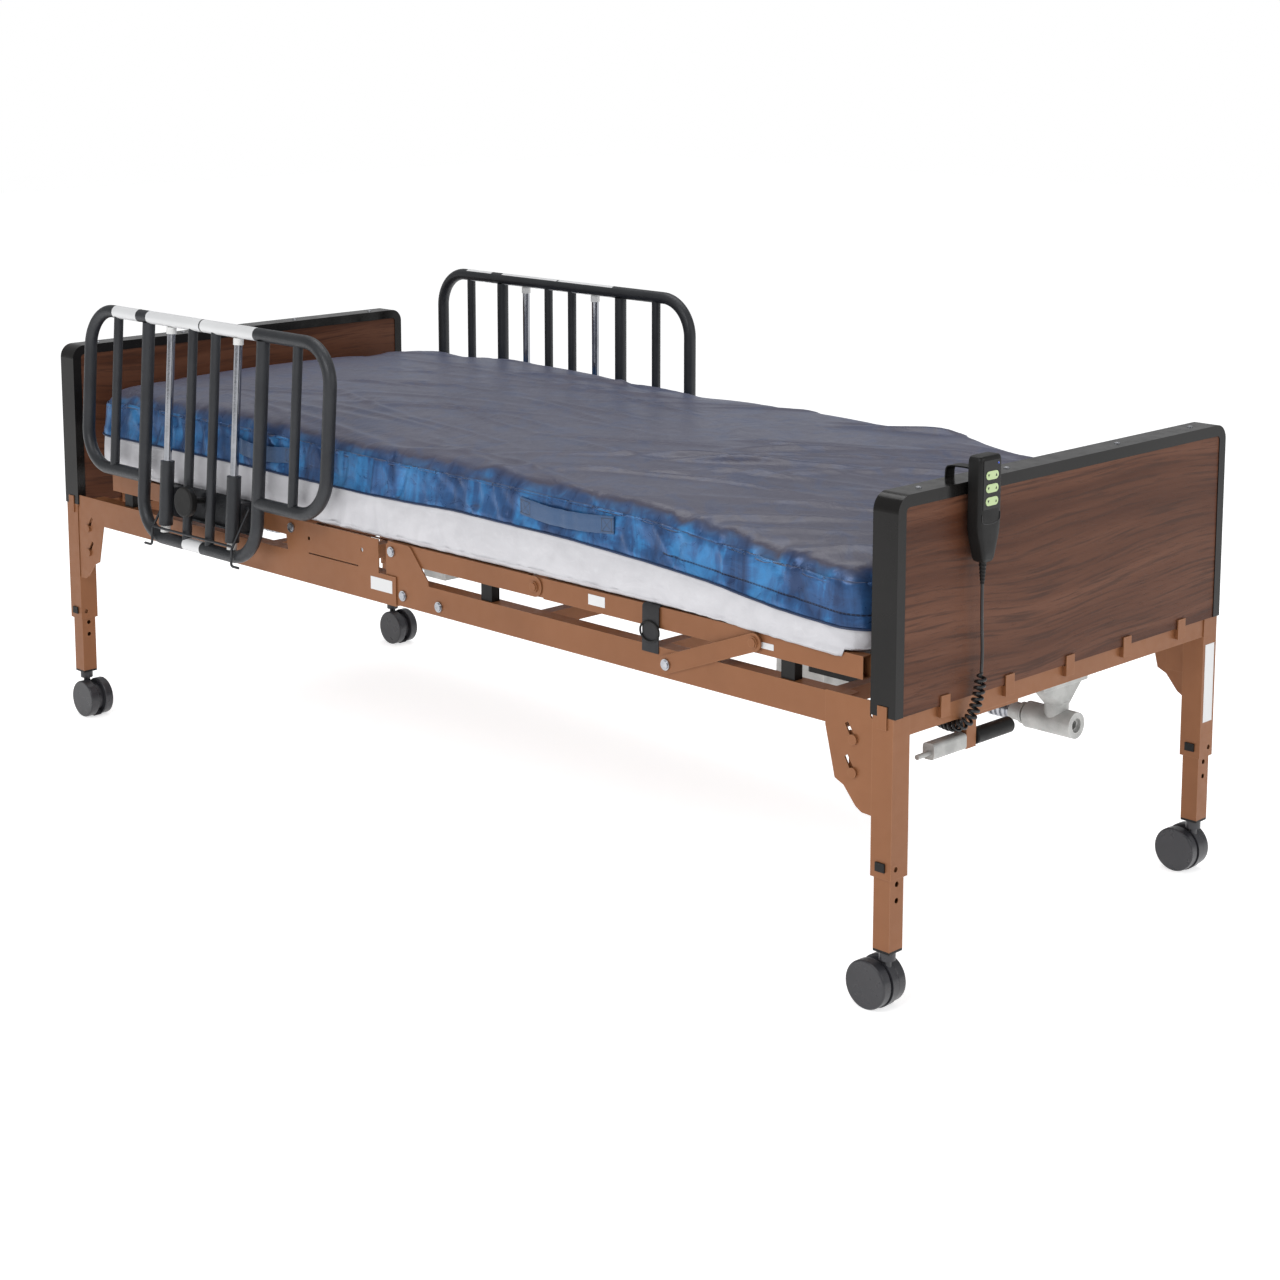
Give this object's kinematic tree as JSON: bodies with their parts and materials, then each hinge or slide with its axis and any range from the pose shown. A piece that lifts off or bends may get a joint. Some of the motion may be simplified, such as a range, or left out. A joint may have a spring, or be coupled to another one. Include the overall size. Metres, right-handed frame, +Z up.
{
  "type": "adjustable hospital bed",
  "caption": "Full-electric home-care bed with woodgrain ends, telescoping legs on casters, folding deck, two-tone mattress, sliding half rails and a corded hand control.",
  "frame": {"origin": "on the floor under the middle of the bed", "axes": "+X from the head end to the foot end, -Y towards the near side, +Z up"},
  "size_m": [2.3207, 1.0392, 0.9127],
  "materials": {
    "walnut_laminate": "matt woodgrain laminate on both faces of the bed ends",
    "black_trim": "glossy moulded edge trim",
    "copper_paint": "satin copper-brown powder coat",
    "cast_grey": "painted light grey, slightly rough casting",
    "zinc_steel": "bright zinc plate",
    "black_plastic": "fine moulded texture",
    "caster_black": "smooth moulded nylon",
    "rail_paint": "charcoal hammertone powder coat",
    "chrome": "polished",
    "blue_cover": "coated nylon, satin, slightly shiny",
    "handset_black": "fine moulded texture",
    "button_green": "pale green rocker",
    "cord_black": "smooth flexible PVC jacket"
  },
  "bodies": {
    "bed": {"head_panel": "walnut_laminate", "head_panel_trim": "black_trim", "head_crossbar": "copper_paint", "head_outer_legs": "copper_paint", "head_gearbox": "cast_grey", "foot_panel": "walnut_laminate", "foot_panel_trim": "black_trim", "foot_crossbar": "copper_paint", "foot_outer_legs": "copper_paint", "foot_gearbox": "cast_grey", "frame_head_half": "copper_paint", "frame_foot_half": "copper_paint", "frame_bolts": "zinc_steel", "plastic_stops": "black_plastic", "seat_deck": "copper_paint", "seat_mattress": "blue_cover", "drive_motors": "cast_grey", "control_box": "black_plastic", "handset": "handset_black", "crank_holder": "copper_paint", "crank": "cast_grey", "handset_cord": "cord_black", "handset_cord_curl": "cord_black", "handset_cord_tail": "cord_black"},
    "foot_legs": {"foot_inner_legs": "copper_paint"},
    "head_legs": {"head_inner_legs": "copper_paint"},
    "foot_screw": {"foot_jack_screw": "zinc_steel"},
    "head_screw": {"head_jack_screw": "zinc_steel"},
    "shaft": {"drive_shaft": "zinc_steel"},
    "fork_foot_near": {"caster_fork_foot_near": "caster_black"},
    "wheels_foot_near": {"caster_wheels_foot_near": "caster_black"},
    "fork_foot_far": {"caster_fork_foot_far": "caster_black"},
    "wheels_foot_far": {"caster_wheels_foot_far": "caster_black"},
    "fork_head_near": {"caster_fork_head_near": "caster_black"},
    "wheels_head_near": {"caster_wheels_head_near": "caster_black"},
    "fork_head_far": {"caster_fork_head_far": "caster_black"},
    "wheels_head_far": {"caster_wheels_head_far": "caster_black"},
    "back_section": {"back_frame": "copper_paint", "back_mattress": "blue_cover", "rail_clamp_near": "rail_paint", "rail_clamp_far": "rail_paint"},
    "thigh_section": {"thigh_frame": "copper_paint", "thigh_mattress": "blue_cover"},
    "foot_section": {"foot_frame": "copper_paint", "foot_mattress": "blue_cover"},
    "links": {"link_arms": "copper_paint"},
    "back_push": {"back_push_tube": "zinc_steel"},
    "knee_push": {"knee_push_tube": "zinc_steel"},
    "rail_near": {"half_rail_near": "rail_paint", "rail_posts_near": "chrome"},
    "bail_near": {"rail_bail_near": "rail_paint"},
    "knob_near": {"rail_knob_near": "black_plastic"},
    "rail_far": {"half_rail_far": "rail_paint", "rail_posts_far": "chrome"},
    "bail_far": {"rail_bail_far": "rail_paint"},
    "knob_far": {"rail_knob_far": "black_plastic"},
    "grip": {"crank_grip": "black_plastic"},
    "rocker_back": {"button_back": "button_green"},
    "rocker_knee": {"button_knee": "button_green"},
    "rocker_height": {"button_height": "button_green"}
  },
  "joints": [
    {"name": "hi_lo_foot", "type": "slide", "parent": "bed", "child": "foot_legs", "axis": [0, 0, -1], "range_m": [-0.09, 0.075]},
    {"name": "hi_lo_head", "type": "slide", "parent": "bed", "child": "head_legs", "axis": [0, 0, -1], "range_m": [-0.09, 0.075]},
    {"name": "foot_screw_spin", "type": "hinge", "parent": "bed", "child": "foot_screw", "pos_m": [1.112, 0, 0.4], "axis": [0, 0, 1], "range_deg": [-2705, 2255]},
    {"name": "head_screw_spin", "type": "hinge", "parent": "bed", "child": "head_screw", "pos_m": [-1.112, 0, 0.4], "axis": [0, 0, 1], "range_deg": [-2705, 2255]},
    {"name": "drive_shaft_spin", "type": "hinge", "parent": "bed", "child": "shaft", "pos_m": [0, 0, 0.365], "axis": [1, 0, 0], "range_deg": [-2705, 2255]},
    {"name": "swivel_foot_near", "type": "hinge", "parent": "foot_legs", "child": "fork_foot_near", "pos_m": [1.112, -0.4245, 0.09], "axis": [0, 0, 1], "continuous": true},
    {"name": "roll_foot_near", "type": "hinge", "parent": "fork_foot_near", "child": "wheels_foot_near", "pos_m": [1.09, -0.4245, 0.039], "axis": [0, 1, 0], "continuous": true},
    {"name": "swivel_foot_far", "type": "hinge", "parent": "foot_legs", "child": "fork_foot_far", "pos_m": [1.112, 0.4245, 0.09], "axis": [0, 0, 1], "continuous": true},
    {"name": "roll_foot_far", "type": "hinge", "parent": "fork_foot_far", "child": "wheels_foot_far", "pos_m": [1.09, 0.4245, 0.039], "axis": [0, 1, 0], "continuous": true},
    {"name": "swivel_head_near", "type": "hinge", "parent": "head_legs", "child": "fork_head_near", "pos_m": [-1.112, -0.4245, 0.09], "axis": [0, 0, 1], "continuous": true},
    {"name": "roll_head_near", "type": "hinge", "parent": "fork_head_near", "child": "wheels_head_near", "pos_m": [-1.09, -0.4245, 0.039], "axis": [0, 1, 0], "continuous": true},
    {"name": "swivel_head_far", "type": "hinge", "parent": "head_legs", "child": "fork_head_far", "pos_m": [-1.112, 0.4245, 0.09], "axis": [0, 0, 1], "continuous": true},
    {"name": "roll_head_far", "type": "hinge", "parent": "fork_head_far", "child": "wheels_head_far", "pos_m": [-1.09, 0.4245, 0.039], "axis": [0, 1, 0], "continuous": true},
    {"name": "back_hinge", "type": "hinge", "parent": "bed", "child": "back_section", "pos_m": [-0.342, 0, 0.53], "axis": [0, 1, 0], "range_deg": [0, 65], "deforming": ["seat_mattress"]},
    {"name": "thigh_hinge", "type": "hinge", "parent": "bed", "child": "thigh_section", "pos_m": [-0.046, 0, 0.53], "axis": [0, -1, 0], "range_deg": [0, 30]},
    {"name": "foot_hinge", "type": "hinge", "parent": "thigh_section", "child": "foot_section", "pos_m": [0.335, 0, 0.53], "axis": [0, -1, 0], "range_deg": [-42.5, 0.5]},
    {"name": "link_hinge", "type": "hinge", "parent": "bed", "child": "links", "pos_m": [0.658, 0, 0.457], "axis": [0, -1, 0], "range_deg": [-0.5, 31]},
    {"name": "back_push_slide", "type": "slide", "parent": "bed", "child": "back_push", "axis": [-1, 0, 0], "range_m": [-0.001, 0.1195]},
    {"name": "knee_push_slide", "type": "slide", "parent": "bed", "child": "knee_push", "axis": [1, 0, 0], "range_m": [-0.001, 0.0585]},
    {"name": "rail_slide_near", "type": "slide", "parent": "back_section", "child": "rail_near", "axis": [0, 0.0698, 0.9976], "range_m": [-0.25, 0]},
    {"name": "bail_hinge_near", "type": "hinge", "parent": "back_section", "child": "bail_near", "pos_m": [-0.58, -0.46524, 0.5544], "axis": [-1, 0, 0], "range_deg": [0, 40]},
    {"name": "knob_turn_near", "type": "hinge", "parent": "back_section", "child": "knob_near", "pos_m": [-0.59, -0.48747, 0.55195], "axis": [0, -0.9976, 0.0698], "continuous": true},
    {"name": "rail_slide_far", "type": "slide", "parent": "back_section", "child": "rail_far", "axis": [0, 0, 1], "range_m": [-0.25, 0]},
    {"name": "bail_hinge_far", "type": "hinge", "parent": "back_section", "child": "bail_far", "pos_m": [-0.58, 0.462, 0.556], "axis": [1, 0, 0], "range_deg": [0, 40]},
    {"name": "knob_turn_far", "type": "hinge", "parent": "back_section", "child": "knob_far", "pos_m": [-0.59, 0.484, 0.552], "axis": [0, 1, 0], "continuous": true},
    {"name": "grip_spin", "type": "hinge", "parent": "bed", "child": "grip", "pos_m": [1.122, -0.189, 0.392], "axis": [0, 1, 0], "continuous": true},
    {"name": "rocker_back_tilt", "type": "hinge", "parent": "bed", "child": "rocker_back", "pos_m": [1.1656, -0.262, 0.816], "axis": [0, 0, 1], "range_deg": [-2.5, 2.5], "stiffness_Nm_per_rad": 0.05},
    {"name": "rocker_knee_tilt", "type": "hinge", "parent": "bed", "child": "rocker_knee", "pos_m": [1.1656, -0.262, 0.796], "axis": [0, 0, 1], "range_deg": [-2.5, 2.5], "stiffness_Nm_per_rad": 0.05},
    {"name": "rocker_height_tilt", "type": "hinge", "parent": "bed", "child": "rocker_height", "pos_m": [1.1656, -0.262, 0.776], "axis": [0, 0, 1], "range_deg": [-2.5, 2.5], "stiffness_Nm_per_rad": 0.05}
  ],
  "couplings": [
    {"joint": "hi_lo_head", "follows": "hi_lo_foot", "ratio": 1},
    {"joint": "foot_screw_spin", "follows": "hi_lo_foot", "rad_per_m": 523.6},
    {"joint": "head_screw_spin", "follows": "hi_lo_foot", "rad_per_m": 523.6},
    {"joint": "drive_shaft_spin", "follows": "hi_lo_foot", "rad_per_m": 523.6},
    {"joint": "foot_hinge", "follows": "thigh_hinge", "ratio": -1.3927},
    {"joint": "link_hinge", "follows": "thigh_hinge", "ratio": 0.9974},
    {"joint": "back_push_slide", "follows": "back_hinge", "m_per_rad": 0.1041},
    {"joint": "knee_push_slide", "follows": "thigh_hinge", "m_per_rad": 0.1088}
  ]
}
